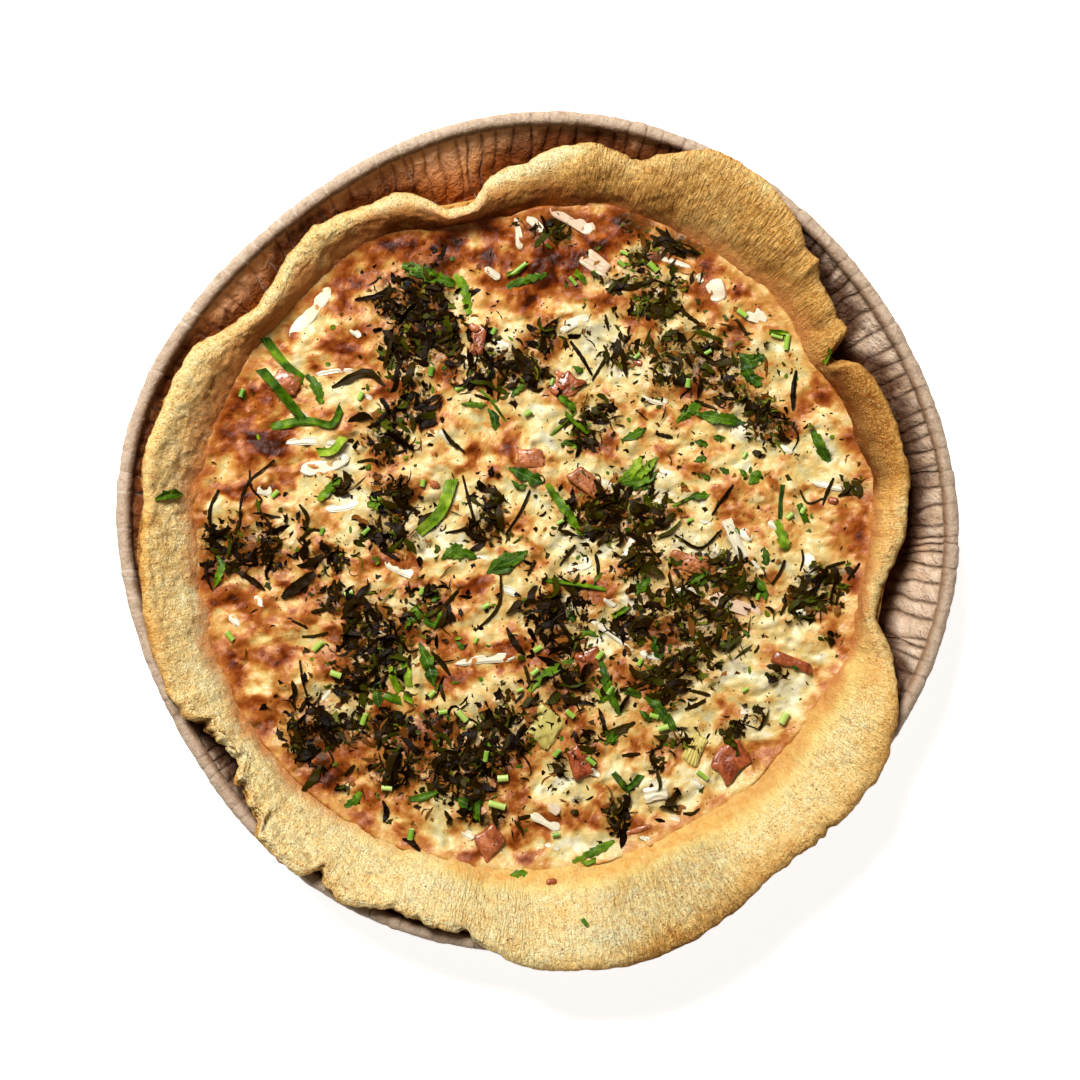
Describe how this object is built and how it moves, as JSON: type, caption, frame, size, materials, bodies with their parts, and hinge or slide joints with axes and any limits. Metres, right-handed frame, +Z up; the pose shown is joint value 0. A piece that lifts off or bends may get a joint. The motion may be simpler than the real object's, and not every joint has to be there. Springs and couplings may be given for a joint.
{
  "type": "quiche",
  "caption": "Round savoury quiche with a hand-turned pastry edge, an egg filling with ham, leek, onion and herbs, in its pleated paper baking form.",
  "frame": {"origin": "middle of the flat underside of the baking form", "axes": "+Z up, out of the top of the filling; +Y towards the side where the pastry edge folds inwards next to its widest inner flap; +X to the right of that, seen from above"},
  "size_m": [0.2628, 0.2671, 0.041],
  "materials": {
    "paper": "brown kraft baking paper, pleated and slightly oily, its rolled rim paler",
    "pastry": "baked wholemeal short pastry, dry, fine grain with dark bran specks",
    "custard": "set egg custard with cheese, cream to pale yellow, browned in patches, slightly moist",
    "ham": "cured ham, browned and moist",
    "onion": "soft baked onion, white and moist",
    "leek": "soft baked leek, pale yellow-green and moist",
    "baked_herb": "baked chopped herbs, dark green to black, dry",
    "fresh_herb": "fresh chopped leaves and chives, bright green, slightly glossy"
  },
  "bodies": {
    "root": {"baking_form": "paper", "pastry_crust": "pastry", "egg_filling": "custard", "ham_dice_1": "ham", "ham_dice_2": "ham", "ham_dice_3": "ham", "ham_dice_4": "ham", "ham_dice_5": "ham", "ham_dice_6": "ham", "ham_dice_7": "ham", "ham_dice_8": "ham", "ham_dice_9": "ham", "ham_dice_10": "ham", "ham_dice_11": "ham", "onion_piece_1": "onion", "onion_piece_2": "onion", "onion_piece_3": "onion", "leek_piece_1": "leek", "leek_piece_2": "leek"}
  },
  "joints": []
}
